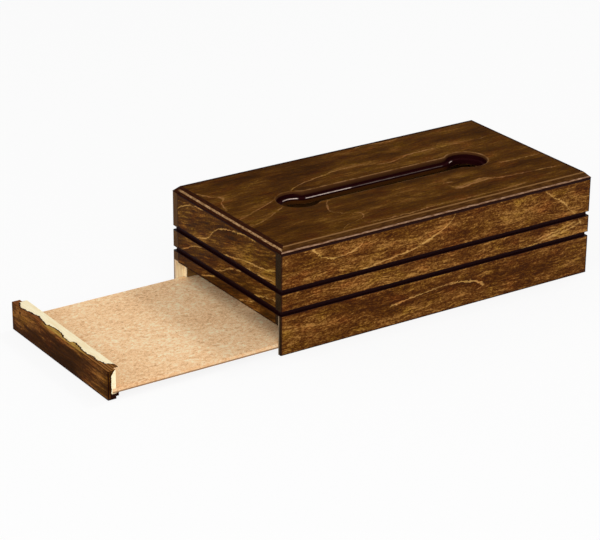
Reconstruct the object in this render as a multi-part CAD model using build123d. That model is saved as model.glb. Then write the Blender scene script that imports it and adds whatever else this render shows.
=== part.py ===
"""Wooden tissue box whose bottom slides out at one end like a drawer.

Millimetres, +Z up. X runs along the box and the drawer opens towards -X.
The origin is on the table, under the middle of the box and its half-open
drawer taken together.
"""
from build123d import *
import os

# ---------------------------------------------------------------- the case
case_length = 250.0
case_width = 131.0
case_height = 73.0
wall = 6.0                   # plywood of the sides and the ends
top_thickness = 4.0          # three-ply top, laid over the walls
liner_thickness = 4.0        # second sheet under the top, fitted between the walls
bevel_lip = 0.3              # upright edge left under the bevel of the top
eased_edge = 0.5             # rounding that sandpaper leaves on outer edges

# ------------------------------------------- two grooves round the outside
groove_width = 3.0
groove_depth = 1.6
lower_groove_z = 27.0        # underside of the lower groove
groove_band = 11.8           # flat band between the two grooves

# --------------------------------------------------- tissue slot in the top
slot_width = 20.0
slot_hole_diameter = 28.4
slot_hole_spacing = 138.0
slot_neck_radius = 6.0       # flare where the slot runs into its end holes
slot_rim_radius = 1.5        # rounded rim of the slot in the top
slot_ledge = 2.5             # how far the liner stands in under the slot's rim
liner_rim_radius = 1.0

# ---------------------------------------------------------------- drawer
opening_height = 19.8        # from the table up to the wall over the drawer front
board_thickness = 3.0        # hardboard that slides in the side grooves
board_underside_z = 4.2
runner_depth = 3.0           # grooves for the hardboard, in the sides and the back
runner_clearance = 0.25      # over and under the hardboard
side_clearance = 0.3         # between the drawer and the bottoms of its grooves
front_thickness = 9.5        # drawer front between the sides; its ends are thinned to the wall's
front_pocket_depth = 3.0     # rebate in each side that takes an end of the front
front_clearance = 0.3        # round the closed front, and under it
front_dado_depth = 6.0       # groove in the front that holds the hardboard
rear_clearance = 0.5         # behind the hardboard when the drawer is shut
drawer_out = 123.0           # how far the drawer stands open at rest

# ---------------------------------------------------- places that follow
overall_length = case_length + drawer_out
open_end_x = drawer_out - overall_length / 2
closed_end_x = open_end_x + case_length
case_middle_x = (open_end_x + closed_end_x) / 2
half_width = case_width / 2
wall_height = case_height - top_thickness
inner_length = case_length - 2 * wall
inner_width = case_width - 2 * wall
runner_floor_z = board_underside_z - runner_clearance
runner_height = board_thickness + 2 * runner_clearance
groove_zs = (lower_groove_z, lower_groove_z + groove_width + groove_band)
drawer_front_x = open_end_x - drawer_out
board_front_x = drawer_front_x + front_thickness - front_dado_depth
board_width = case_width - 2 * (wall - runner_depth + side_clearance)
front_width = case_width - 2 * (wall - front_pocket_depth + side_clearance)
front_inner_width = inner_width - 2 * side_clearance


def block(x_low, x_high, y_low, y_high, z_low, z_high):
    """A rectangular piece between two corners."""
    size = (x_high - x_low, y_high - y_low, z_high - z_low)
    middle = ((x_low + x_high) / 2, (y_low + y_high) / 2, (z_low + z_high) / 2)
    return Pos(*middle) * Box(*size)


def groove_ring(z_low):
    """What the cutter takes away for one groove round the outside of the case."""
    spare = groove_depth
    outer = block(open_end_x - spare, closed_end_x + spare, -half_width - spare,
                  half_width + spare, z_low, z_low + groove_width)
    core = block(open_end_x + groove_depth, closed_end_x - groove_depth,
                 -half_width + groove_depth, half_width - groove_depth,
                 z_low, z_low + groove_width)
    return outer - core


def grooved(panel):
    """A wall panel with its stretch of both outside grooves."""
    for z_low in groove_zs:
        panel -= groove_ring(z_low)
    return panel


def side_panel(side):
    """A long wall, on the -Y side (-1) or the +Y side (+1)."""
    outer_y = side * half_width
    inner_y = side * (half_width - wall)
    panel = block(open_end_x, closed_end_x, min(outer_y, inner_y),
                  max(outer_y, inner_y), 0, wall_height)
    corners = panel.edges().filter_by(Axis.Z).sort_by(Axis.Y)
    corners = corners[:2] if side < 0 else corners[-2:]
    panel = fillet(corners, eased_edge)

    # the runner for the hardboard stops at the face of the closed end's own groove
    runner_y = side * (half_width - wall + runner_depth)
    panel -= block(open_end_x, closed_end_x - wall + runner_depth,
                   min(runner_y, inner_y), max(runner_y, inner_y),
                   runner_floor_z, runner_floor_z + runner_height)

    # the rebate that takes an end of the drawer front when the drawer is shut
    pocket_y = side * (half_width - wall + front_pocket_depth)
    panel -= block(open_end_x, open_end_x + wall + front_clearance,
                   min(pocket_y, inner_y), max(pocket_y, inner_y),
                   0, opening_height)
    return grooved(panel)


def drawer_end_panel():
    """The short wall over the drawer front."""
    panel = block(open_end_x, open_end_x + wall, -inner_width / 2, inner_width / 2,
                  opening_height, wall_height)
    return grooved(panel)


def closed_end_panel():
    """The short wall at the far end, with a groove for the end of the hardboard."""
    panel = block(closed_end_x - wall, closed_end_x, -inner_width / 2, inner_width / 2,
                  0, wall_height)
    panel -= block(closed_end_x - wall, closed_end_x - wall + runner_depth,
                   -inner_width / 2, inner_width / 2,
                   runner_floor_z, runner_floor_z + runner_height)
    return grooved(panel)


def slot_outline(inset):
    """The dog-bone outline of the tissue slot, drawn in by inset all round."""
    radius = slot_hole_diameter / 2 - inset
    width = slot_width - 2 * inset
    holes = [Pos(side * slot_hole_spacing / 2, 0) * Circle(radius) for side in (-1, 1)]
    outline = Rectangle(slot_hole_spacing, width) + holes[0] + holes[1]
    necks = outline.vertices().filter_by(lambda v: abs(v.X) < slot_hole_spacing / 2)
    return fillet(necks, slot_neck_radius + inset)


def slotted(panel, z_top, thickness, inset, rim_radius):
    """A panel with the tissue slot cut through it and the slot's upper rim rounded."""
    outline = slot_outline(inset)
    cutter = extrude(Pos(case_middle_x, 0, z_top - thickness) * outline, thickness)
    panel -= cutter
    reach = slot_hole_spacing / 2 + slot_hole_diameter / 2
    rim = [edge for edge in panel.edges().group_by(Axis.Z)[-1]
           if abs(edge.center().X - case_middle_x) <= reach
           and abs(edge.center().Y) <= slot_hole_diameter / 2]
    return fillet(rim, rim_radius)


def top_panel():
    """The top sheet: its edge bevelled to a thin lip, its slot with a rounded rim."""
    panel = block(open_end_x, closed_end_x, -half_width, half_width,
                  wall_height, case_height)
    bevel = top_thickness - bevel_lip
    panel = chamfer(panel.faces().sort_by(Axis.Z)[-1].edges(), bevel)
    panel = fillet(panel.faces().sort_by(Axis.Z)[-1].edges(), eased_edge)
    return slotted(panel, case_height, top_thickness, 0, slot_rim_radius)


def inner_top_plate():
    """The liner under the top, its slot narrower by a ledge all round."""
    panel = block(open_end_x + wall, closed_end_x - wall, -inner_width / 2,
                  inner_width / 2, wall_height - liner_thickness, wall_height)
    return slotted(panel, wall_height, liner_thickness, slot_ledge, liner_rim_radius)


def drawer_front():
    """The strip that fills the end of the case when the drawer is shut."""
    front_top_z = opening_height - front_clearance
    front = block(drawer_front_x, drawer_front_x + wall, -front_width / 2,
                  front_width / 2, front_clearance, front_top_z)
    front = fillet(front.faces().sort_by(Axis.X)[0].edges(), eased_edge)

    # the full thickness stands between the sides, so the thinner ends fill their rebates
    front += block(drawer_front_x + wall, drawer_front_x + front_thickness,
                   -front_inner_width / 2, front_inner_width / 2,
                   front_clearance, front_top_z)
    return front - block(board_front_x, drawer_front_x + front_thickness,
                         -front_width / 2, front_width / 2,
                         board_underside_z, board_underside_z + board_thickness)


def drawer_board():
    """The hardboard sheet: the sliding bottom, glued into the drawer front."""
    shut_end_x = closed_end_x - wall + runner_depth - rear_clearance
    return block(board_front_x, shut_end_x - drawer_out,
                 -board_width / 2, board_width / 2,
                 board_underside_z, board_underside_z + board_thickness)


pieces = {
    "near_side_panel": side_panel(-1),
    "far_side_panel": side_panel(1),
    "drawer_end_panel": drawer_end_panel(),
    "closed_end_panel": closed_end_panel(),
    "top_panel": top_panel(),
    "inner_top_plate": inner_top_plate(),
    "drawer_front": drawer_front(),
    "drawer_board": drawer_board(),
}

os.makedirs("parts", exist_ok=True)
for name, piece in pieces.items():
    export_step(piece, f"parts/{name}.step")
    print(name, round(piece.volume, 1), "mm3")
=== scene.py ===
"""Looks for the wooden tissue box with its half-open drawer: stained plywood, bare birch and hardboard.

Lengths in the materials are millimetres of the part's own frame. What is placed in the scene is in metres.
"""

import math
from typing import NamedTuple

import bpy
from mathutils import Matrix, Vector


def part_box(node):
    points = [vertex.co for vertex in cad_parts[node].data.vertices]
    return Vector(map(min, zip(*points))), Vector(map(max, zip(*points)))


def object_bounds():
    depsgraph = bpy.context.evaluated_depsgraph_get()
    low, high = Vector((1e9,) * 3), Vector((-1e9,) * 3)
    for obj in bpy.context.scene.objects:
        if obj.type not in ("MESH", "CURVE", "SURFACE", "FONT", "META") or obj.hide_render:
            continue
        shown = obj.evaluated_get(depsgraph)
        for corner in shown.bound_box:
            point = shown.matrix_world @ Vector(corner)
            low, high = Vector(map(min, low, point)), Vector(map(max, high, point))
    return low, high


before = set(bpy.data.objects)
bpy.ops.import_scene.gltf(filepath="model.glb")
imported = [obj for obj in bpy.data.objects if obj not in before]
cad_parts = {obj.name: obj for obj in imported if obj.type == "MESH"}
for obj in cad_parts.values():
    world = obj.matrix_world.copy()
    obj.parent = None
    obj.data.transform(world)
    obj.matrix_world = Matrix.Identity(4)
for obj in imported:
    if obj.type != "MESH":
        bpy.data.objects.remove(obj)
cad_low, cad_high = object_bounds()

MM = 0.001


# ------------------------------------------------------------ sizes read from the frame
def span(node):
    """Lowest and highest corner of a CAD node, in millimetres."""
    low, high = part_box(node)
    return Vector(low) / MM, Vector(high) / MM


near_low, near_high = span("near_side_panel")
far_low, far_high = span("far_side_panel")
top_low, top_high = span("top_panel")
liner_low, liner_high = span("inner_top_plate")
end_low, end_high = span("drawer_end_panel")
shut_low, shut_high = span("closed_end_panel")
front_low, front_high = span("drawer_front")
board_low, _ = span("drawer_board")

WALL = near_high.y - near_low.y
FRONT_LENGTH = front_high.y - front_low.y
FRONT_THICKNESS = front_high.x - front_low.x

# Sizes that the pieces' boxes don't give.
GROOVE_WIDTH = 3.0
GROOVE_DEPTH = 1.6
GROOVE_ZS = (27.0, 41.8)     # undersides of the two grooves round the case
BEVEL = 3.7                  # height and width of the bevel round the top
# The slot lies within this of the case's long middle line, and further than this from its ends.
SLOT_REACH = 20.0


# ------------------------------------------------------------------------ colours
def srgb(red, green, blue):
    """A colour given as 0-255 screen values, as linear light with full alpha."""
    def linear(value):
        value /= 255
        return value / 12.92 if value <= 0.04045 else ((value + 0.055) / 1.055) ** 2.4
    return (linear(red), linear(green), linear(blue), 1.0)


# Five colours of the stain from dark to light, and last that of the growth lines.
# The long sides are lighter and the top and ends darker partly as real stain, partly as painted light.
SIDE_TONES = (srgb(57, 25, 1), srgb(78, 40, 4), srgb(95, 55, 14), srgb(115, 73, 27), srgb(164, 116, 56),
              srgb(200, 152, 84))
END_TONES = (srgb(40, 19, 0), srgb(61, 33, 3), srgb(74, 42, 8), srgb(90, 57, 15), srgb(132, 93, 39),
             srgb(184, 142, 78))
TOP_TONES = (srgb(48, 23, 0), srgb(62, 33, 3), srgb(75, 43, 6), srgb(88, 54, 11), srgb(118, 79, 32),
             srgb(158, 112, 66))
FRONT_TONES = (srgb(40, 18, 1), srgb(52, 26, 4), srgb(63, 34, 9), srgb(92, 55, 20), srgb(142, 92, 42),
               srgb(150, 110, 60))
TONE_STEPS = (-1.9, -0.85, 0.0, 0.85, 1.9)   # where the five lie on a tone that swings around its middle
TONE_SPREAD = 0.17
# The hue turns redder above the middle of its noise, and yellower below; the numbers are where it is full.
HUE_TURNS = ((srgb(255, 234, 226), 0.68), (srgb(250, 255, 206), 0.32))

# Pairs of colours for bare wood, the case's inside (brown as painted shade) and cut plies.
BARE = (srgb(255, 240, 204), srgb(232, 202, 152))
INSIDE_SHADE = (srgb(132, 96, 52), srgb(98, 66, 30))
NEAR_END_GRAIN = (srgb(23, 12, 2), srgb(46, 30, 11))
FAR_END_GRAIN = (srgb(62, 37, 12), srgb(92, 62, 28))
PLY_LIGHT = (srgb(108, 74, 40), srgb(184, 146, 104))
PLY_DARK = (srgb(36, 12, 6), srgb(58, 30, 14))
PLY_OLIVE = (srgb(54, 30, 10), srgb(88, 56, 24))
PLY_PINK = (srgb(100, 66, 42), srgb(178, 142, 114))
GOLDEN_TOP = (srgb(188, 148, 72), srgb(128, 92, 32))
FAR_TOP = (srgb(136, 80, 36), srgb(92, 50, 18))
FRONT_BARE = (srgb(255, 243, 206), srgb(248, 226, 180))
BOARD_BACK = (srgb(126, 84, 50), srgb(176, 128, 84))

GROOVE = srgb(24, 5, 6)
JOINT = srgb(30, 9, 6)
PALE_STRIP = srgb(214, 188, 156)
# the bevel's lighter arris: wear, and a painted highlight
WORN_GLINTING_ARRIS = srgb(128, 92, 54)
SLOT_BROWN = srgb(72, 43, 22)
# painted highlight on the rim of the slot
SLOT_RIM_HIGHLIGHT = srgb(128, 92, 56)
# the dark core ply in the slot, also used as painted shade on the liner's ledge and in the end holes
SLOT_DARK_AND_SHADE = srgb(34, 7, 9)
LINER_WALL = srgb(70, 38, 12)
# the painted highlight along the liner's arris
LINER_GLINT = srgb(250, 226, 212)
STAIN_EDGE = srgb(46, 22, 4)
FRONT_CORE = srgb(226, 188, 144)
HARDBOARD = (srgb(210, 159, 112), srgb(251, 207, 157), srgb(255, 241, 204))
BOARD_SPECK = srgb(130, 84, 46)
BOARD_RIM = srgb(70, 52, 34)


# ------------------------------------------------------------------------ kinds of noise
class Noise(NamedTuple):
    """A kind of noise: its cells in mm (along the fibres, across, through), how fine and how warped it is,
    and the two levels between which it turns from off to on where it makes spots."""
    cell: tuple
    detail: float = 3.0
    roughness: float = 0.55
    warp: float = 0.0
    levels: tuple = (0.0, 1.0)


def fibres(*cell):
    """Noise for two colours of wood in fine stripes."""
    return Noise(cell, 4.0, 0.6, levels=(0.35, 0.7))


# Stained wood and its growth lines.
WAVE = Noise((40, 15, 15))
MOTTLE = Noise((44, 11, 11))
STREAK = Noise((11, 1.3, 1.3), 4.0, 0.6)
SPECK = Noise((1.8, 0.7, 0.7), 3.0, 0.7)
HUE = Noise((20, 9, 9))
PORES = Noise((7, 0.5, 0.5), 1.0, levels=(0.66, 0.74))
LINE_BEND = Noise((5.0, 3.0, 1.0), 2.0)
LINE_FRAY = Noise((1.6, 1.2, 1.0), 1.0)
LINE_WIDTH = Noise((7.0, 7.0, 1.0), 2.0, levels=(0.35, 0.7))
LINE_FADE = Noise((9.0, 9.0, 1.0), 4.0, 0.65, levels=(0.36, 0.56))

# Bare and cut wood, and what makes the edges of its colours ragged.
MOUTH_FIBRES = fibres(1.6, 24, 1.6)
INSIDE_FIBRES = fibres(16, 1.6, 1.6)
END_FIBRES = fibres(0.9, 12, 1)
BARE_FIBRES = fibres(14, 1.2, 1.2)
FRONT_TOP_FIBRES = fibres(0.7, 8, 1)
PALE_PLY = fibres(2.5, 2.5, 0.5)
DARK_PLY = fibres(4, 4, 0.5)
PINK_PLY = fibres(5, 5, 0.5)
OLIVE_PLY = fibres(7, 7, 0.7)
MOUTH_EDGE = Noise((5, 5, 5), 4.0, 0.65)
PLY_SHIFT = Noise((10, 10, 1))
PLY_BEND = Noise((12, 1, 1))
# breaks up the painted highlight on the slot's rim
RIM_HIGHLIGHT_BREAKUP = Noise((7, 7, 1), 4.0, 0.65, levels=(0.38, 0.6))
# breaks up the painted highlight along the liner's arris
LINER_GLINT_BREAKUP = Noise((8, 8, 3), 3.0, 0.6, levels=(0.36, 0.56))
LINER_GRAIN = Noise((9, 1.2, 1.2))
STAIN_WANDER = Noise((4.0, 4.0, 4.0), 1.0)
STAIN_FRAY = Noise((1.6, 1.6, 1.6), 2.0, 0.7)

# Hardboard.
CLOUD = Noise((34, 26, 26))
FLECK = Noise((3.3, 2.2, 2.2), 4.0, 0.65, 0.8)
FINE_FLECK = Noise((1.2, 1.0, 1.0), 2.0, 0.6, 1.5)
DARK_FLECK = Noise((2.2, 1.4, 1.4), 2.0, levels=(0.70, 0.76))


# ------------------------------------------------------------------------ surfaces
class Surface(NamedTuple):
    """How a surface shines: its roughness (over relief from, to; then least, most), the depth of its relief
    in mm, and its specular level."""
    roughness: tuple
    depth: float
    specular: float


SIDE_SURFACE = Surface((0.0, 1.0, 0.4, 0.62), 0.12, 0.04)
END_SURFACE = Surface((0.0, 1.0, 0.4, 0.62), 0.12, 0.02)
TOP_SURFACE = Surface((0.0, 1.0, 0.5, 0.7), 0.1, 0.006)
LINER_SURFACE = Surface((0.3, 0.7, 0.4, 0.55), 0.05, 0.01)
FRONT_SURFACE = Surface((0.0, 1.0, 0.45, 0.65), 0.12, 0.01)
BOARD_SURFACE = Surface((0.2, 0.8, 0.7, 0.9), 0.1, 0.1)

SOFT = 0.2                   # half the width over which the edge of a painted band fades
FACING = (0.6, 0.9)          # a face counts as square to an axis from nothing to wholly between these


# ---------------------------------------------------------------- shader building blocks
class Net:
    """A material's node tree, with one short call for each kind of node that is used."""

    def __init__(self, name):
        self.material = bpy.data.materials.new(name)
        self.material.use_nodes = True
        self.tree = self.material.node_tree
        self.tree.nodes.clear()
        position = self.node("ShaderNodeTexCoord")
        scaled = self.node("ShaderNodeVectorMath", operation="SCALE")
        self.plug(scaled.inputs[0], position.outputs["Object"])
        scaled.inputs["Scale"].default_value = 1 / MM
        self.x, self.y, self.z = self.separate(scaled.outputs[0])
        self.normal_x, self.normal_y, self.normal_z = self.separate(position.outputs["Normal"])

    def node(self, kind, **settings):
        made = self.tree.nodes.new(kind)
        for key, value in settings.items():
            setattr(made, key, value)
        return made

    def plug(self, socket, value):
        """Links a socket, or sets a constant on it."""
        if isinstance(value, bpy.types.NodeSocket):
            self.tree.links.new(value, socket)
        else:
            socket.default_value = value

    def math(self, operation, first, second=0.0, clamp=False):
        made = self.node("ShaderNodeMath", operation=operation, use_clamp=clamp)
        self.plug(made.inputs[0], first)
        self.plug(made.inputs[1], second)
        return made.outputs[0]

    def chain(self, operation, values):
        total = values[0]
        for value in values[1:]:
            total = self.math(operation, total, value)
        return total

    def add(self, *values):
        return self.chain("ADD", values)

    def times(self, *values):
        return self.chain("MULTIPLY", values)

    def largest(self, *values):
        return self.chain("MAXIMUM", values)

    def smallest(self, *values):
        return self.chain("MINIMUM", values)

    def minus(self, first, second):
        return self.math("SUBTRACT", first, second)

    def size(self, value):
        return self.math("ABSOLUTE", value)

    def square(self, value):
        return self.math("POWER", value, 2.0)

    def wave(self, value, length):
        """A sine wave of that length."""
        return self.math("SINE", self.times(value, 2 * math.pi / length))

    def invert(self, value):
        return self.math("SUBTRACT", 1.0, value, clamp=True)

    def separate(self, vector):
        made = self.node("ShaderNodeSeparateXYZ")
        self.plug(made.inputs[0], vector)
        return made.outputs[0], made.outputs[1], made.outputs[2]

    def combine(self, x, y, z):
        made = self.node("ShaderNodeCombineXYZ")
        for socket, value in zip(made.inputs, (x, y, z)):
            self.plug(socket, value)
        return made.outputs[0]

    def spread(self, value, parts, kind):
        made = self.node("ShaderNodeMapRange", interpolation_type=kind)
        for socket, part in zip(made.inputs, (value, *parts)):
            self.plug(socket, part)
        return made.outputs[0]

    def ramp(self, value, start, stop, low=0.0, high=1.0):
        """Goes smoothly from low to high while value goes from start to stop."""
        return self.spread(value, (start, stop, low, high), "SMOOTHSTEP")

    def straight(self, value, start, stop):
        """Goes evenly from 0 to 1 while value goes from start to stop."""
        return self.spread(value, (start, stop, 0.0, 1.0), "LINEAR")

    def within(self, value, edge, fade, strength=1.0):
        """That strength up to fade[0] past an edge, and nothing from fade[1] past it."""
        return self.ramp(value, edge + fade[0], edge + fade[1], strength, 0.0)

    def beyond(self, value, edge, fade, strength=1.0):
        """Nothing up to fade[0] past an edge, and that strength from fade[1] past it."""
        return self.ramp(value, edge + fade[0], edge + fade[1], 0.0, strength)

    def band(self, value, start, stop, soft=SOFT):
        """1 between start and stop, 0 outside, with soft edges."""
        rise = self.ramp(value, start - soft, start + soft)
        fall = self.ramp(value, stop - soft, stop + soft, 1.0, 0.0)
        return self.times(rise, fall)

    def noise(self, place, kind, seed):
        """Noise between 0 and 1 over a place: three coordinates, None where one doesn't count."""
        made = self.node("ShaderNodeTexNoise", noise_dimensions="4D")
        cells = [0.0 if part is None else self.times(part, 1 / size) for part, size in zip(place, kind.cell)]
        self.plug(made.inputs["Vector"], self.combine(*cells))
        made.inputs["W"].default_value = seed
        made.inputs["Scale"].default_value = 1.0
        made.inputs["Detail"].default_value = kind.detail
        made.inputs["Roughness"].default_value = kind.roughness
        made.inputs["Distortion"].default_value = kind.warp
        return made.outputs["Fac"]

    def swing(self, place, kind, seed, reach):
        """Noise around 0, over that reach in all."""
        return self.times(self.minus(self.noise(place, kind, seed), 0.5), reach)

    def spots(self, place, kind, seed, low=0.0, high=1.0):
        """Noise that goes from low to high between its kind's two levels."""
        return self.ramp(self.noise(place, kind, seed), *kind.levels, low, high)

    def mixed(self, factor, first, second, kind="MIX"):
        made = self.node("ShaderNodeMix", data_type="RGBA", blend_type=kind)
        self.plug(made.inputs["Factor"], factor)
        self.plug(made.inputs["A"], first)
        self.plug(made.inputs["B"], second)
        return made.outputs["Result"]

    def grained(self, place, kind, seed, pair):
        """Two colours mixed by noise."""
        return self.mixed(self.spots(place, kind, seed), *pair)

    def shades(self, tone, colours):
        """Five colours from dark to light, as the tone rises."""
        made = self.node("ShaderNodeValToRGB")
        stops = made.color_ramp.elements
        while len(stops) < len(colours):
            stops.new(1.0)
        for stop, step, colour in zip(stops, TONE_STEPS, colours):
            stop.position = 0.5 + TONE_SPREAD * step
            stop.color = colour
        self.plug(made.inputs["Fac"], tone)
        return made.outputs["Color"]

    def curve(self, value, points, handles="AUTO"):
        """A curve through points given between 0 and 1 both ways.

        VECTOR handles make it straight between the points.
        """
        made = self.node("ShaderNodeFloatCurve")
        line = made.mapping.curves[0]
        line.points[0].location = points[0]
        line.points[1].location = points[-1]
        for point in points[1:-1]:
            line.points.new(*point)
        for point in line.points:
            point.handle_type = handles
        made.mapping.update()
        self.plug(made.inputs["Value"], value)
        return made.outputs[0]

    def finish(self, colour, relief, surface, rough_by=None):
        """Joins colour and relief into the surface. rough_by sets the roughness where relief doesn't."""
        bump = self.node("ShaderNodeBump")
        bump.inputs["Strength"].default_value = 1.0
        bump.inputs["Distance"].default_value = surface.depth * MM
        self.plug(bump.inputs["Height"], relief)
        roughness = self.ramp(relief if rough_by is None else rough_by, *surface.roughness)
        shader = self.node("ShaderNodeBsdfPrincipled")
        self.plug(shader.inputs["Base Color"], colour)
        self.plug(shader.inputs["Roughness"], roughness)
        self.plug(shader.inputs["Normal"], bump.outputs[0])
        shader.inputs["Specular IOR Level"].default_value = surface.specular
        output = self.node("ShaderNodeOutputMaterial")
        self.plug(output.inputs["Surface"], shader.outputs[0])
        return self.material


# ------------------------------------------------------------------------ wood figure
WAVE_REACH = 9.0             # how far the fibres wave, in mm
PATCH_EDGE = (0.1, 1.0)      # a patch fades between these shares of its radii, squared
PATCH_FRAY = 3.0             # how much the mottling frays it
LINE_BEND_REACH = 3.0
LINE_FRAY_REACH = 2.0
LINE_TIP = 1.5               # a growth line fades over this at its ends
LINE_CORE = 0.2              # share of its half width that is full
LINE_BREAKS = (-0.10, 0.16, 0.15, 1.0)   # the line breaks up where the streaks are dark
LINE_HOLD = 0.16             # and less so in its middle
GLOW_BELOW = (-1.5, 0.5)     # the glow beside a growth line rises and falls between these, in mm
GLOW_ABOVE = (0.5, 8.0)
GLOW_TONE = 0.09             # how much lighter it is
LINE_SEEDS = 10              # the growth lines' noises start this far after the wood's
PORE_SHADE = 0.45
PORE_DEPTH = 0.5


def grain_line(net, along, across, points, seed, streak, figure):
    """A pale growth line through given points (along, across), frayed and broken.

    streak is the wood's own streak noise. Returns the line's strength, and that of a wider glow above it.
    """
    first = [point[0] for point in points]
    second = [point[1] for point in points]
    low_a, high_a = min(first), max(first)
    low_b, high_b = min(second), max(second)
    here = (along, across, None)
    wobble = net.add(net.swing(here, LINE_BEND, seed, LINE_BEND_REACH),
                     net.swing(here, LINE_FRAY, seed + 0.5, LINE_FRAY_REACH))
    place = net.straight(net.add(along, wobble), low_a, high_a)
    spots = [((a - low_a) / (high_a - low_a), (b - low_b) / (high_b - low_b)) for a, b in points]
    height = net.add(net.times(net.curve(place, spots), high_b - low_b), low_b)
    offset = net.minus(net.add(across, wobble), height)
    inside = net.band(along, low_a, high_a, LINE_TIP)
    width = net.spots(here, LINE_WIDTH, seed + 0.7, *figure["widths"])
    fade = net.spots(here, LINE_FADE, seed + 0.3, figure["faintest"], 1.0)
    line = net.ramp(net.math("DIVIDE", net.size(offset), width), LINE_CORE, 1.0, 1.0, 0.0)
    breaks = net.ramp(net.add(streak, net.times(line, LINE_HOLD)), *LINE_BREAKS)
    glow = net.times(net.ramp(offset, *GLOW_BELOW), net.ramp(offset, *GLOW_ABOVE, 1.0, 0.0))
    return net.times(line, breaks, inside, fade), net.times(glow, inside)


def stained_wood(net, along, across, depth, seed, tones, figure, slant=0.0):
    """Stained veneer: mottling, short streaks, pores and growth lines.

    Its noises take seed and the numbers after it. slant turns the fibres. Returns the colour and the relief.
    """
    flat_along, flat_across = along, across
    across = net.add(across, net.times(along, slant))
    across = net.add(across, net.swing((along, across, depth), WAVE, seed, WAVE_REACH))
    place = (along, across, depth)
    mottling, streaking, specking = figure["grain"]
    mottle = net.swing(place, MOTTLE, seed + 1, mottling)
    streak = net.swing(place, STREAK, seed + 2, streaking)
    speck = net.swing(place, SPECK, seed + 3, specking)
    tone = net.add(mottle, streak, speck, 0.5)
    for a, b, reach_a, reach_b, amount in figure["patches"]:
        far = net.add(net.square(net.times(net.size(net.minus(flat_along, a)), 1 / reach_a)),
                      net.square(net.times(net.size(net.minus(flat_across, b)), 1 / reach_b)))
        tone = net.add(tone, net.ramp(net.add(far, net.times(mottle, PATCH_FRAY)), *PATCH_EDGE, amount, 0.0))

    strength, glow = 0.0, 0.0
    lines = [(points, flat_along, flat_across) for points in figure.get("lines", ())]
    lines += [(points, flat_across, flat_along) for points in figure.get("upright", ())]
    for number, (points, u, v) in enumerate(lines):
        line, halo = grain_line(net, u, v, points, seed + LINE_SEEDS + number, streak, figure)
        strength = net.largest(strength, line)
        glow = net.largest(glow, halo)
    if lines:
        tone = net.add(tone, net.times(glow, GLOW_TONE))
    colour = net.shades(tone, tones[:-1])
    if lines:
        colour = net.mixed(net.times(strength, figure["strength"]), colour, tones[-1])
    hue = net.noise(place, HUE, seed + 6)
    for turned, full in HUE_TURNS:
        colour = net.mixed(net.ramp(hue, 0.5, full), colour, turned, "MULTIPLY")

    pores = net.spots(place, PORES, seed + 4)
    colour = net.mixed(net.times(pores, PORE_SHADE), colour, tones[0])
    return colour, net.add(streak, speck, net.times(pores, -PORE_DEPTH), 0.5)


# What a figure holds: "lines" through points (along, across) and "upright" ones through points (across,
# along); "patches" (along, across, their two radii, how much lighter); how strong the mottling, streaks and
# specks are ("grain"); and the growth lines' least and greatest half width, weakest and full strength.
SIDE_LOOK = {"grain": (0.95, 1.35, 1.8), "widths": (0.5, 1.3), "faintest": 0.5, "strength": 0.9}
END_LOOK = {"grain": (1.2, 1.5, 1.0), "widths": (0.45, 1.0), "faintest": 0.35, "strength": 0.85}
TOP_LOOK = {"grain": (1.25, 1.0, 0.8), "widths": (0.5, 1.5), "faintest": 0.15, "strength": 0.75}
NEAR_FIGURE = {
    **SIDE_LOOK,
    "lines": (
        ((22, 69), (27, 64), (34, 59.5), (42, 58), (50, 59), (58, 61), (63, 68)),
        ((60, 44), (70, 46), (85, 48), (100, 50), (113, 53.5), (124, 58), (132, 63), (136, 69)),
        ((85, 14), (100, 15.8), (115, 17.5), (130, 18.5), (145, 17.5), (155, 15), (161, 11.5)),
        ((190, 29.5), (204, 31), (218, 33.3), (232, 35.5), (241, 37.6)),
        ((204, 33.5), (216, 35.4), (228, 37.5), (238, 39.5)),
    ),
    "upright": (
        ((37, 243), (44, 239), (50, 232), (56, 227), (62, 217), (69, 209)),
        ((8, 150), (9.5, 157), (11.5, 161), (13, 160)),
    ),
    "patches": (
        (192, 57, 26, 12, 0.16), (28, 15, 24, 6, 0.12), (90, 35.5, 70, 6, 0.09), (225, 34, 30, 7, 0.08),
        (171, 20.3, 4.0, 3.0, -0.3), (190, 12, 60, 14, -0.16), (90, 18, 90, 12, -0.15),
        (120, 66, 60, 8, -0.05), (100, 53, 22, 5, 0.08), (243, 55, 12, 16, -0.08), (222, 7, 30, 6, 0.05),
        (12, 60, 12, 12, -0.06),
    ),
}
FAR_FIGURE = {
    **SIDE_LOOK,
    "lines": (
        ((12, 52), (30, 56), (50, 57), (72, 61), (90, 68)),
        ((120, 14), (150, 18), (175, 16), (200, 11), (230, 9)),
        ((150, 48), (170, 52), (190, 60), (205, 68)),
    ),
    "patches": (
        (60, 20, 40, 8, 0.1), (190, 35, 50, 6, 0.08), (130, 60, 30, 10, 0.1), (215, 55, 18, 12, -0.08),
    ),
}
END_FIGURE = {
    **END_LOOK,
    "lines": (
        ((3, 54), (8, 60), (15, 63.5), (25, 66.5), (42, 68.5)),
        ((24, 42), (32, 46.5), (43, 50), (52, 58), (62, 63), (80, 66.5), (101, 68.5)),
        ((58, 44.5), (72, 47), (90, 50.5), (108, 52), (120, 54.5), (128, 57)),
        ((84, 45.5), (100, 46.5), (115, 47), (128, 51)),
        ((6, 29), (18, 34.5), (26, 38.5), (36, 41)),
        ((48, 29.5), (62, 34), (72, 39), (84, 41.5)),
        ((98, 30), (112, 33.5), (126, 36)),
        ((36, 21), (44, 24), (52, 26.5)),
        ((82, 21), (92, 23.5), (100, 26.5)),
    ),
    "patches": (
        (105, 50, 34, 10, 0.16), (30, 56, 22, 9, -0.06), (70, 58, 18, 8, -0.08), (14, 52, 12, 12, 0.06),
        (110, 34, 24, 6, 0.05), (60, 24, 70, 6, -0.10), (60, 36, 20, 6, -0.05),
    ),
}
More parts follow.
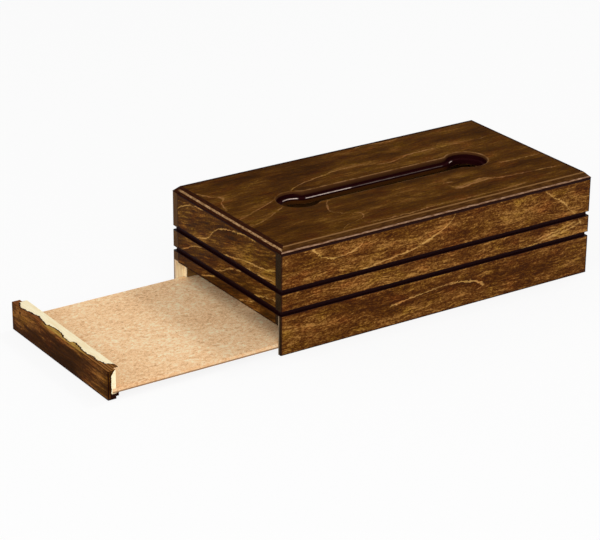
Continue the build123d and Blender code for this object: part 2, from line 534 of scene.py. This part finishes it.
SHUT_FIGURE = {
    **END_LOOK,
    "lines": (
        ((10, 8), (30, 12), (60, 16), (90, 15), (120, 20)),
        ((5, 48), (30, 52), (55, 60), (80, 64), (120, 67)),
        ((40, 45), (70, 47), (100, 52), (126, 54)),
    ),
    "patches": ((30, 20, 26, 10, 0.1), (100, 55, 24, 10, 0.1), (70, 10, 30, 8, -0.08)),
}
TOP_FIGURE = {
    **TOP_LOOK,
    "lines": (
        ((61, 81), (70, 86), (80, 89.2), (97, 93), (110, 95.4), (122, 95.2), (133, 92.5), (145, 89),
         (156, 90.8), (170, 94.6), (185, 94.7), (232, 94)),
        ((152, 33.5), (154.2, 30.5), (158.6, 26.7), (167.3, 28.8), (173.8, 29.5), (181.1, 31.1), (186, 28.5),
         (192.1, 25.8), (211.2, 24.1), (227.4, 22.7), (243.8, 21.4)),
        ((153.5, 28), (158.6, 25.2), (168, 27), (174, 28), (181, 29.4), (186, 26.8)),
        ((154, 27), (159, 24.4), (168, 26), (175, 27), (183, 27.4), (188, 25)),
        ((152, 36.2), (155, 36.8), (160, 36.5)),
        ((210, 48.5), (220, 47.2), (243, 47)),
        ((2, 54.5), (12.5, 58.5), (20, 62.2), (30, 66.5), (41, 72)),
        ((4, 41), (20, 47.2), (32.5, 54.7), (43, 61)),
        ((140, 122), (155, 125), (168, 123), (180, 126)),
        ((70, 9), (100, 6), (130, 8), (160, 7), (200, 9)),
    ),
    "upright": (
        ((5, 50), (11, 57.5), (14.2, 67.5), (17.2, 74.5), (22.2, 76.3), (26.7, 72.5), (29.7, 66.3),
         (36, 62), (44.7, 65), (53, 71)),
        ((73, 6), (86, 10), (93.5, 15), (98.5, 10), (109, 5)),
    ),
    "patches": (
        (118, 34, 14, 9, -0.12), (30, 30, 26, 20, -0.08), (205, 120, 42, 10, 0.07), (173, 43, 15, 6, 0.2),
        (170, 28, 22, 4, 0.2), (185, 17, 44, 10, 0.07), (40, 110, 34, 14, -0.04), (95, 22, 16, 12, 0.05),
        (120, 82, 60, 5, 0.09), (225, 36, 24, 8, -0.07), (100, 105, 60, 8, -0.04), (150, 52, 20, 6, -0.05),
    ),
}
FRONT_FIGURE = {
    "grain": (1.1, 1.0, 0.6),
    "patches": (
        (20, 15, 26, 6, 0.22), (66, 19.5, 34, 2.6, 0.3), (8, 10, 12, 8, 0.10), (90, 8, 50, 10, -0.13),
        (50, 4, 50, 8, -0.13), (108, 19, 18, 3, 0.14),
    ),
}

# ------------------------------------------------------------------------ the four walls
GROOVE_BLEED = 0.35          # how far the dark stain of a groove creeps past its edges
END_BLEED = 1.1              # the same above the grooves of the short walls
GROOVE_FLOOR = (0.3, 0.5)    # it fades between these depths past the groove's floor
# Dark lines along a wall's edges: the distances from the edge between which they fade, and their strength.
CORNER_LINE = ((0.7, 1.1), 0.85)
FOOT_LINE = ((0.5, 0.9), 0.8)
SIDE_JOINT = ((-0.9, -0.3), 0.85)
SIDE_TOP_LINE = 1.4          # heights of the dark joint under the top
END_TOP_LINE = 0.9
LINE_SPARE = 1.0             # the joint's band goes on this far above the wall
INSIDE_FROM = (-0.4, -0.2)   # the stain of the outside ends this far short of the inside
BARE_MOUTH = (0.7, 1.1)      # the bare stretch at the mouth is this much longer than a wall is thick
BARE_RAGGED = 1.5
END_FACE = (0.3, 0.6)        # the end grain shows this near to the wall's end
END_SLANT = -0.25            # the short walls' fibres fall to one side
# Each long wall's pale strip: its height, where it starts and stops behind the outer face, its strength.
NEAR_STRIP = (26.8, 2.1, 3.2, 0.3)
FAR_STRIP = (20.5, 1.1, 6.5, 0.85)
STRIP_SIDE_SOFT = 0.12
STRIP_TOP_FADE = (-0.3, 0.3)
STRIP_MOUTH = (5, 6)         # it is at the drawer's mouth only


def groove_mask(net, distance, bleed_above=GROOVE_BLEED):
    """1 in the two outside grooves. distance is how far in from the outer faces a point lies."""
    ring = 0.0
    for z_low in GROOVE_ZS:
        z_high = z_low + GROOVE_WIDTH + bleed_above
        ring = net.largest(ring, net.band(net.z, z_low - GROOVE_BLEED, z_high))
    return net.times(ring, net.within(distance, GROOVE_DEPTH, GROOVE_FLOOR))


def inner_face(net, along, seed):
    """A long wall's inside: bare where the drawer front rests in it, brown further in as painted shade."""
    place = (along, net.z, net.y)
    bare = net.grained(place, MOUTH_FIBRES, seed, BARE)
    stain_and_shade = net.grained(place, INSIDE_FIBRES, seed + 1, INSIDE_SHADE)
    reach = net.add(along, net.swing(place, MOUTH_EDGE, seed + 2, BARE_RAGGED))
    return net.mixed(net.beyond(reach, WALL, BARE_MOUTH), bare, stain_and_shade)


def side_material(name, low, high, outward, seed, figure, end_grain, strip):
    """A long wall: stained outside and on its ends, with a pale strip low down at the drawer's mouth.

    outward is the side it faces, -1 or +1 along Y.
    """
    net = Net(name)
    along = net.minus(net.x, low.x)
    outer = net.minus(outward * (high.y if outward > 0 else low.y), net.times(net.y, outward))
    to_end = net.smallest(along, net.minus(high.x, net.x))
    stain_and_shade, relief = stained_wood(net, along, net.z, net.y, seed, SIDE_TONES, figure)
    stain_and_shade = net.mixed(net.within(to_end, 0.0, *CORNER_LINE), stain_and_shade, JOINT)
    stain_and_shade = net.mixed(net.within(net.z, low.z, *FOOT_LINE), stain_and_shade, JOINT)
    stain_and_shade = net.mixed(net.band(net.z, high.z - SIDE_TOP_LINE, high.z + LINE_SPARE), stain_and_shade, JOINT)
    inside = inner_face(net, along, seed + 20)
    colour = net.mixed(net.beyond(outer, WALL / 2, INSIDE_FROM), stain_and_shade, inside)

    end_face = net.times(net.ramp(net.size(net.normal_x), *FACING), net.within(to_end, 0.0, END_FACE))
    plies = net.grained((net.y, net.z, None), END_FIBRES, seed + 25, end_grain)
    strip_height, strip_start, strip_stop, strength = strip
    pale = net.times(net.band(outer, strip_start, strip_stop, STRIP_SIDE_SOFT),
                     net.within(net.z, strip_height, STRIP_TOP_FADE),
                     net.within(along, 0.0, STRIP_MOUTH))
    plies = net.mixed(net.times(pale, strength), plies, PALE_STRIP)
    colour = net.mixed(end_face, colour, plies)
    colour = net.mixed(groove_mask(net, net.smallest(outer, to_end)), colour, GROOVE)
    return net.finish(colour, relief, SIDE_SURFACE)


def end_material(name, low, high, outward, seed, figure):
    """A short wall, facing -1 or +1 along X: stained outside, brown inside as painted shade."""
    net = Net(name)
    along = net.add(net.y, far_high.y) if outward > 0 else net.minus(far_high.y, net.y)
    outer = net.minus(outward * (high.x if outward > 0 else low.x), net.times(net.x, outward))
    stain_and_shade, relief = stained_wood(net, along, net.z, net.x, seed, END_TONES, figure, END_SLANT)
    stain_and_shade = net.mixed(net.band(net.z, high.z - END_TOP_LINE, high.z + LINE_SPARE), stain_and_shade, JOINT)
    stain_and_shade = net.mixed(net.within(net.z, low.z, *FOOT_LINE), stain_and_shade, JOINT)
    stain_and_shade = net.mixed(net.beyond(net.size(net.y), far_low.y, *SIDE_JOINT), stain_and_shade, JOINT)
    inside = net.grained((net.y, net.z, net.x), INSIDE_FIBRES, seed + 20, INSIDE_SHADE)
    colour = net.mixed(net.beyond(outer, WALL, INSIDE_FROM), stain_and_shade, inside)
    colour = net.mixed(groove_mask(net, outer, END_BLEED), colour, GROOVE)
    return net.finish(colour, relief, END_SURFACE)


# ------------------------------------------------------------------------ top and liner
EDGE_FACING = (0.97, 0.86)   # a cut edge starts where the sheet's face turns away from upright
CORNER_TURN = (-0.3, 0.3)    # round a corner, the bevel's side turns into its end
PLY_SHIFT_REACH = 0.35
PLY_SOFT = 0.15              # how softly one ply ends at the next
MIDDLE_PLY = (1.45, 2.4)     # depths below the top's face
LOWER_PLY = (2.7, 3.4)
# the bevel's arris is lighter, from wear and as a painted highlight
ARRIS_WEAR_AND_GLINT = ((0.45, 0.75), 0.9)
FAR_CORNER = (-9, -4)        # the pale ply stops this far short of the far side
LIP_JOINT = (-0.3, 0.0)      # the lip under the bevel is dark
# Where the top's face darkens towards the bevel: on its far side, at the closed end and at the drawer end.
FAR_RIM = (-3.0, -1.6)
SHUT_RIM = (-2.2, -1.0)
OPEN_RIM = (0.5, 0.9)
RIM_SHADE = 0.85
SLOT_FADE = (1.0, 2.0)       # how far past the slot's reach its colours fade out
SLOT_SOFT = 1.0
LIP_FACING = (0.998, 0.985)
LEAST_RIM_HIGHLIGHT = 0.1
DIM_RIM_HIGHLIGHT = (58, 76, 0.3, 1.0)   # the painted highlight on the slot's rim is weaker here, measured from the drawer end
RIM_LIGHT = (-0.5, 0.35)     # depths below the top's face where the slot's wall takes the painted highlight of its rim
# the painted shade in the end holes sets in between these depths
HOLE_DARKENS = (1.2, 2.2)
SLOT_DARKENS = (1.6, 3.7)
# Painted shade darkens each end hole from the first place to the second, measured from the drawer end of the
# case.
HOLE_SHADES = ((178.0, 188.0), (67.0, 61.0))
# Where a painted highlight lies along the liner's arris: from, to, and how strongly.
PAINTED_GLINTS = ((51.5, 62.5, 1.0), (67.5, 104.0, 0.65), (104.0, 140.0, 0.14), (140.0, 180.0, 0.09),
          (187.0, 190.5, 0.9))
GLINT_SOFT = 0.8
GLINT_DEPTH = (0.2, 0.6, 0.12)
LEAST_GLINT = 0.6
LINER_SHADOW = (1.4, 1.9)    # painted shadow darkens the liner's wall down to this depth
LINER_BACK = (0.02, 0.1)     # its underside is brown as painted shade inside the case


def cut_edge(net, z_top, seed):
    """Where the cut edges are, how far below the sheet's top a point lies, and how far it faces X."""
    sunk = net.add(net.minus(z_top, net.z), net.swing((net.x, net.y, None), PLY_SHIFT, seed, PLY_SHIFT_REACH))
    towards_end = net.ramp(net.minus(net.size(net.normal_x), net.size(net.normal_y)), *CORNER_TURN)
    return net.ramp(net.size(net.normal_z), *EDGE_FACING), sunk, towards_end


def bevel_colour(net, sunk, towards_end, seed):
    """The bevel round the top, where the plies show. The middle one is pale at the ends only."""
    place = (net.x, net.y, net.z)
    pale = net.grained(place, PALE_PLY, seed, PLY_LIGHT)
    dark = net.grained(place, DARK_PLY, seed + 1, PLY_DARK)
    pink = net.grained(place, PINK_PLY, seed + 2, PLY_PINK)
    olive = net.grained(place, OLIVE_PLY, seed + 3, PLY_OLIVE)
    at_end = net.mixed(net.band(sunk, *MIDDLE_PLY, PLY_SOFT), dark, pale)
    at_end = net.mixed(net.beyond(net.y, top_high.y, FAR_CORNER), at_end, dark)
    at_side = net.mixed(net.band(sunk, *LOWER_PLY, PLY_SOFT), olive, pink)
    at_side = net.mixed(net.within(sunk, 0.0, *ARRIS_WEAR_AND_GLINT), at_side, WORN_GLINTING_ARRIS)
    colour = net.mixed(towards_end, at_side, at_end)
    return net.mixed(net.beyond(sunk, BEVEL, LIP_JOINT), colour, JOINT)


def top_rim(net):
    """1 where the top's face is dark along the bevel; it isn't on the near side."""
    return net.largest(net.beyond(net.y, top_high.y - BEVEL, FAR_RIM),
                       net.beyond(net.x, top_high.x - BEVEL, SHUT_RIM),
                       net.within(net.x, top_low.x + BEVEL, OPEN_RIM))


def top_material():
    """The top sheet: its stained face, its bevel, and the upper wall of the slot, with painted shade in its
    end holes and a painted highlight on its rim.
    """
    net = Net("top_plywood")
    along, across = net.minus(net.x, top_low.x), net.minus(net.y, top_low.y)
    colour, relief = stained_wood(net, along, across, net.z, 3.0, TOP_TONES, TOP_FIGURE)
    colour = net.mixed(net.times(top_rim(net), RIM_SHADE), colour, JOINT)
    edge, sunk, towards_end = cut_edge(net, top_high.z, 4.0)

    # strength of the painted highlight on the slot's rim and on the rounded lip above it
    highlight_spots = net.times(net.spots((net.x, net.y, None), RIM_HIGHLIGHT_BREAKUP, 6.0, LEAST_RIM_HIGHLIGHT), net.ramp(along, *DIM_RIM_HIGHLIGHT))
    # painted shade in the end holes
    hole_shade = net.largest(*[net.ramp(along, *shade) for shade in HOLE_SHADES])
    slot = net.mixed(net.times(hole_shade, net.ramp(sunk, *HOLE_DARKENS)), SLOT_BROWN, SLOT_DARK_AND_SHADE)
    slot = net.mixed(net.ramp(sunk, *SLOT_DARKENS), slot, SLOT_DARK_AND_SHADE)
    slot = net.mixed(net.band(sunk, *RIM_LIGHT, PLY_SOFT), slot, net.mixed(highlight_spots, TOP_TONES[3], SLOT_RIM_HIGHLIGHT))
    in_slot = net.times(net.within(net.size(net.y), SLOT_REACH, SLOT_FADE),
                        net.band(net.x, top_low.x + SLOT_REACH, top_high.x - SLOT_REACH, SLOT_SOFT))
    lip = net.times(net.ramp(net.size(net.normal_z), *LIP_FACING), in_slot)
    colour = net.mixed(net.times(lip, highlight_spots), colour, SLOT_RIM_HIGHLIGHT)
    colour = net.mixed(edge, colour, net.mixed(in_slot, bevel_colour(net, sunk, towards_end, 5.0), slot))
    return net.finish(colour, relief, TOP_SURFACE)


def liner_material():
    """The inner sheet, seen through the slot: painted shade on its ledge and wall, and a painted highlight
    along its arris.
    """
    net = Net("liner_plywood")
    edge, sunk, _ = cut_edge(net, liner_high.z, 8.0)
    place = (net.x, net.y, net.z)
    along = net.minus(net.x, top_low.x)
    # painted shade in the end hole at the closed end, and painted shadow high on the wall
    wall = net.mixed(net.ramp(along, *HOLE_SHADES[0]), LINER_WALL, SLOT_DARK_AND_SHADE)
    wall = net.mixed(net.ramp(sunk, *LINER_SHADOW), SLOT_DARK_AND_SHADE, wall)
    painted_glint = 0.0
    # a painted highlight along the liner's arris, in the bands listed in PAINTED_GLINTS
    for start, stop, strength in PAINTED_GLINTS:
        painted_glint = net.largest(painted_glint, net.times(net.band(along, start, stop, GLINT_SOFT), strength))
    highlight_spots = net.spots(place, LINER_GLINT_BREAKUP, 9.0, LEAST_GLINT)
    wall = net.mixed(net.times(painted_glint, highlight_spots, net.band(sunk, *GLINT_DEPTH)), wall, LINER_GLINT)
    # the liner's flat faces, its ledge under the slot, are painted dark as shade
    colour = net.mixed(edge, SLOT_DARK_AND_SHADE, wall)
    below = net.grained(place, INSIDE_FIBRES, 10.0, INSIDE_SHADE)
    colour = net.mixed(net.beyond(net.z, liner_low.z, LINER_BACK), below, colour)
    return net.finish(colour, net.noise(place, LINER_GRAIN, 11.0), LINER_SURFACE)


# ------------------------------------------------------------------------ drawer
FRONT_PLY = 1.9              # spacing of the ply lines on the drawer front's top edge
FRONT_PLY_EDGE = (0.0, 0.6)  # a line is dark where its wave is above these
FRONT_PLY_SHADE = 0.8
PLY_BEND_REACH = 1.0
FAR_TOP_ENDS = (36, 46)      # the top edge turns golden here, measured from its far end
NEAR_TOP_STARTS = (-40, -22)   # and brown again here, measured from its near end
PLIES_START = (-50, -28)
TOP_EDGE = (0.3, 1.0, 0.3, 0.95)   # the top edge's own colour sets in from the outer face inwards
END_LINE = (0.3, 1.1)        # a dark line down the end faces
EDGE_BAND = (-0.9, 0.05, 0.15)   # the stain's dark rim, on both sides of where it ends
BARE_FROM = (-0.05, 0.15)    # the bare wood starts past it
CORE_FROM = (-0.2, 0.1)      # the thicker part between the long walls starts at a wall's thickness
BARE_ABOVE = (-0.6, 0.0)     # bare from the board's underside upwards
TIP_BELOW = ((-0.8, 0.0), 0.9)   # and dark below it
TIP_FROM = (2.0, 2.6)        # from here inwards
DRAWER_FOOT = ((0.7, 1.2), 0.9)   # a dark line along the drawer's lower edges
# How far the stain covers the front's top edge: mm from its far end, mm in from the outer face.
STAIN_LINE = (
    (0, 9.5), (3.0, 9.0), (3.6, 4.3), (11, 1.0), (23.8, 3.2), (30.5, 4.4), (43.9, 1.9), (44.5, 3.3),
    (50.4, 4.4), (60.0, 4.4), (65.5, 2.4), (74.2, 2.1), (75.0, 4.7), (81.0, 4.5), (88.5, 3.1), (95.8, 3.1),
    (101.0, 4.3), (106.8, 3.7), (108.6, 4.7), (113.0, 5.3), (114.3, 7.0), (116.6, 9.5), (124.4, 9.5),
)
STAIN_WANDER_REACH = 1.6
STAIN_FRAY_REACH = 2.6
END_STAIN = 2.8              # on the end faces the stain ends this far in
END_RAGGED = 0.4             # it has this share of the raggedness there
END_TOP_STAIN = ((-4, 0), 2.0)   # and reaches further in towards the top

CLOUD_REACH = 0.5
FLECK_REACH = 1.5
FINE_FLECK_REACH = 1.2
BOARD_TONES = ((0.15, 0.5), (0.5, 0.85))   # the tone goes through the hardboard's three colours
SPECK_SHADE = 0.5
CUT_FACING = (0.5, 0.2)
CUT_SHADE = 0.35
BACK_FACING = (-0.5, -0.9)
BOARD_WEAVE = 2.6            # the wire mesh that the sheet was pressed on leaves its print on the underside
WEAVE_EDGE = (-0.5, 0.6)
WEAVE_FRAY = 1.5


def stain_reach(net, along, on_end, on_back):
    """How far in from the outer face the stain covers the front's top and ends; it ends raggedly."""
    place = (net.y, net.x, net.z)
    ragged = net.add(net.swing(place, STAIN_WANDER, 16.0, STAIN_WANDER_REACH),
                     net.swing(place, STAIN_FRAY, 18.0, STAIN_FRAY_REACH))
    points = [(a / FRONT_LENGTH, reach / FRONT_THICKNESS) for a, reach in STAIN_LINE]
    line = net.curve(net.times(along, 1 / FRONT_LENGTH), points, "VECTOR")
    over_top = net.add(net.times(line, FRONT_THICKNESS), ragged)
    upwards = net.beyond(net.z, front_high.z, *END_TOP_STAIN)
    over_end = net.add(END_STAIN, net.times(ragged, END_RAGGED), upwards)
    flat = net.invert(net.largest(on_end, on_back))
    return net.add(net.times(over_top, flat), net.times(over_end, on_end))


def front_top(net, along):
    """The front's top edge: brown at its far end, golden, and brown again at its near end."""
    golden = net.grained((net.x, net.y, None), FRONT_TOP_FIBRES, 13.0, GOLDEN_TOP)
    far = net.grained((net.x, net.y, None), FRONT_TOP_FIBRES, 14.0, FAR_TOP)
    golden = net.mixed(net.ramp(along, *FAR_TOP_ENDS), far, golden)
    return net.mixed(net.beyond(along, FRONT_LENGTH, NEAR_TOP_STARTS), golden, FRONT_TONES[4])


def front_material():
    """The drawer front: stained outside, golden and then bare across its top, with ply lines."""
    net = Net("front_plywood")
    along = net.minus(front_high.y, net.y)
    inward = net.minus(net.x, front_low.x)
    on_top = net.ramp(net.normal_z, *FACING)
    on_end = net.ramp(net.size(net.normal_y), *FACING)
    on_back = net.ramp(net.normal_x, *FACING)
    colour, relief = stained_wood(net, along, net.z, net.x, 12.0, FRONT_TONES, FRONT_FIGURE)
    over = net.minus(inward, stain_reach(net, along, on_end, on_back))

    colour = net.mixed(net.times(on_top, net.ramp(inward, *TOP_EDGE)), colour, front_top(net, along))
    bend = net.swing((net.y, None, None), PLY_BEND, 19.0, PLY_BEND_REACH)
    plies = net.ramp(net.wave(net.add(inward, bend), FRONT_PLY), *FRONT_PLY_EDGE)
    plies = net.times(plies, on_top, net.beyond(along, FRONT_LENGTH, PLIES_START))
    colour = net.mixed(net.times(plies, FRONT_PLY_SHADE), colour, STAIN_EDGE)
    colour = net.mixed(net.times(on_end, net.band(inward, *END_LINE)), colour, JOINT)
    colour = net.mixed(net.band(over, *EDGE_BAND), colour, STAIN_EDGE)

    bare = net.grained((net.y, net.z, net.x), BARE_FIBRES, 17.0, FRONT_BARE)
    core = net.times(on_end, net.beyond(inward, WALL, CORE_FROM))
    bare = net.mixed(core, bare, FRONT_CORE)
    above_board = net.beyond(net.z, board_low.z, BARE_ABOVE)
    colour = net.mixed(net.times(net.ramp(over, *BARE_FROM), above_board), colour, bare)
    tip = net.times(net.within(net.z, board_low.z, *TIP_BELOW), net.ramp(inward, *TIP_FROM))
    foot = net.within(net.z, front_low.z, *DRAWER_FOOT)
    colour = net.mixed(net.largest(tip, foot), colour, JOINT)
    return net.finish(colour, relief, FRONT_SURFACE)


def board_material():
    """Hardboard: pressed fibres, tan, with fine light and dark flecks, and a meshed underside."""
    net = Net("hardboard")
    place = (net.x, net.y, net.z)
    cloud = net.swing(place, CLOUD, 20.0, CLOUD_REACH)
    fleck = net.add(net.swing(place, FLECK, 21.0, FLECK_REACH),
                    net.swing(place, FINE_FLECK, 22.0, FINE_FLECK_REACH))
    tone = net.add(cloud, fleck, 0.5)
    colour = HARDBOARD[0]
    for steps, lighter in zip(BOARD_TONES, HARDBOARD[1:]):
        colour = net.mixed(net.ramp(tone, *steps), colour, lighter)
    colour = net.mixed(net.times(net.spots(place, DARK_FLECK, 23.0), SPECK_SHADE), colour, BOARD_SPECK)
    cut = net.ramp(net.size(net.normal_z), *CUT_FACING)
    colour = net.mixed(net.times(cut, net.within(net.z, board_low.z, *DRAWER_FOOT)), colour, BOARD_RIM)
    colour = net.mixed(net.times(cut, CUT_SHADE), colour, HARDBOARD[0])
    weave = net.times(net.wave(net.x, BOARD_WEAVE), net.wave(net.y, BOARD_WEAVE))
    rough = net.mixed(net.ramp(net.add(weave, net.times(fleck, WEAVE_FRAY)), *WEAVE_EDGE), *BOARD_BACK)
    colour = net.mixed(net.ramp(net.normal_z, *BACK_FACING), colour, rough)
    return net.finish(colour, fleck, BOARD_SURFACE, rough_by=tone)


# ------------------------------------------------------------------------ dressing
MATERIALS = {
    "near_side_panel": side_material("near_plywood", near_low, near_high, -1, 1.0, NEAR_FIGURE,
                                     NEAR_END_GRAIN, NEAR_STRIP),
    "far_side_panel": side_material("far_plywood", far_low, far_high, 1, 31.0, FAR_FIGURE,
                                    FAR_END_GRAIN, FAR_STRIP),
    "drawer_end_panel": end_material("drawer_end_plywood", end_low, end_high, -1, 41.0, END_FIGURE),
    "closed_end_panel": end_material("closed_end_plywood", shut_low, shut_high, 1, 51.0, SHUT_FIGURE),
    "top_panel": top_material(),
    "inner_top_plate": liner_material(),
    "drawer_front": front_material(),
    "drawer_board": board_material(),
}
for node, material in MATERIALS.items():
    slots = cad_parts[node].data.materials
    slots.clear()
    slots.append(material)


# -------------------------------------------------------------------- floor and light
FLOOR_REACH = 3.0            # metres, as are the next ones
FLOOR_GAP = 0.0002           # keeps the floor off the walls' lower edges
FLOOR_GREY = 0.88
FLOOR_GLOW = 0.87            # share of plain white in what the camera sees of the floor
AMBIENT = 0.52               # strength of the light from all round
# Soft square lamps: name, place, width and power.
LAMPS = (
    ("key", (-0.6, -1.6, 0.8), 1.2, 14),
    ("fill", (-1.6, -0.4, 0.7), 1.2, 10),
    ("overhead", (0.774, 0.10, 1.345), 0.24, 4),
)


def seen_directly(tree):
    """1 for rays from the camera and for those that it sees by a mirror or through glass."""
    path = tree.nodes.new("ShaderNodeLightPath")
    total = path.outputs["Is Camera Ray"]
    for name in ("Is Glossy Ray", "Is Transmission Ray"):
        largest = tree.nodes.new("ShaderNodeMath")
        largest.operation = "MAXIMUM"
        tree.links.new(total, largest.inputs[0])
        tree.links.new(path.outputs[name], largest.inputs[1])
        total = largest.outputs[0]
    return total


def white_floor():
    """A pale floor that looks white to the camera and still takes a soft shadow."""
    mesh = bpy.data.meshes.new("floor")
    height = cad_low.z - FLOOR_GAP
    signs = ((-1, -1), (1, -1), (1, 1), (-1, 1))
    corners = [(x * FLOOR_REACH, y * FLOOR_REACH, height) for x, y in signs]
    mesh.from_pydata(corners, [], [(0, 1, 2, 3)])
    floor = bpy.data.objects.new("floor", mesh)
    bpy.context.collection.objects.link(floor)
    material = bpy.data.materials.new("floor_white")
    material.use_nodes = True
    tree = material.node_tree
    tree.nodes.clear()
    diffuse = tree.nodes.new("ShaderNodeBsdfDiffuse")
    diffuse.inputs["Color"].default_value = (FLOOR_GREY, FLOOR_GREY, FLOOR_GREY, 1)
    glow = tree.nodes.new("ShaderNodeEmission")
    glow.inputs["Color"].default_value = (1, 1, 1, 1)
    share = tree.nodes.new("ShaderNodeMath")
    share.operation = "MULTIPLY"
    share.inputs[1].default_value = FLOOR_GLOW
    tree.links.new(seen_directly(tree), share.inputs[0])
    mix = tree.nodes.new("ShaderNodeMixShader")
    tree.links.new(share.outputs[0], mix.inputs[0])
    tree.links.new(diffuse.outputs[0], mix.inputs[1])
    tree.links.new(glow.outputs[0], mix.inputs[2])
    output = tree.nodes.new("ShaderNodeOutputMaterial")
    tree.links.new(mix.outputs[0], output.inputs["Surface"])
    mesh.materials.append(material)


def studio_world():
    """Soft light from all round; the camera, and what glossy surfaces reflect, see white."""
    world = bpy.data.worlds.new("studio")
    bpy.context.scene.world = world
    world.use_nodes = True
    tree = world.node_tree
    tree.nodes.clear()
    strength = tree.nodes.new("ShaderNodeMapRange")
    strength.inputs["To Min"].default_value = AMBIENT
    strength.inputs["To Max"].default_value = 1.0
    tree.links.new(seen_directly(tree), strength.inputs["Value"])
    background = tree.nodes.new("ShaderNodeBackground")
    background.inputs["Color"].default_value = (1, 1, 1, 1)
    tree.links.new(strength.outputs[0], background.inputs["Strength"])
    output = tree.nodes.new("ShaderNodeOutputWorld")
    tree.links.new(background.outputs[0], output.inputs["Surface"])


def soft_box(name, place, width, power):
    """A square area lamp, turned towards the middle of the part."""
    lamp = bpy.data.lights.new(name, "AREA")
    lamp.shape = "SQUARE"
    lamp.size = width
    lamp.energy = power
    holder = bpy.data.objects.new(name, lamp)
    bpy.context.collection.objects.link(holder)
    holder.location = place
    holder.rotation_mode = "QUATERNION"
    aim = (cad_low + cad_high) / 2 - Vector(place)
    holder.rotation_quaternion = aim.to_track_quat("-Z", "Y")


white_floor()
studio_world()
for lamp in LAMPS:
    soft_box(*lamp)


# ---------------------------------------------------------------------------- camera
CAMERA_PLACE = Vector((-0.7966, -1.1757, 0.6268))
CAMERA_AZIMUTH = math.radians(-33.940)
CAMERA_ELEVATION = math.radians(23.106)
CAMERA_ROLL = math.radians(0.450)
FOCAL_PIXELS = 2331.0
PHOTO_WIDTH = 600
SENSOR_WIDTH = 36.0


def photo_camera():
    """The view of the photograph, worked out from the edges of the box."""
    camera = bpy.data.cameras.new("camera")
    camera.sensor_fit = "HORIZONTAL"
    camera.sensor_width = SENSOR_WIDTH
    camera.lens = FOCAL_PIXELS / PHOTO_WIDTH * SENSOR_WIDTH
    holder = bpy.data.objects.new("camera", camera)
    bpy.context.collection.objects.link(holder)
    level = math.cos(CAMERA_ELEVATION)
    back = Vector((math.sin(CAMERA_AZIMUTH) * level, -math.cos(CAMERA_AZIMUTH) * level,
                   math.sin(CAMERA_ELEVATION)))
    turn = (-back).to_track_quat("-Z", "Y").to_matrix().to_4x4()
    holder.matrix_world = Matrix.Translation(CAMERA_PLACE) @ turn @ Matrix.Rotation(CAMERA_ROLL, 4, "Z")
    bpy.context.scene.camera = holder


photo_camera()
bpy.context.scene.view_settings.view_transform = "Standard"
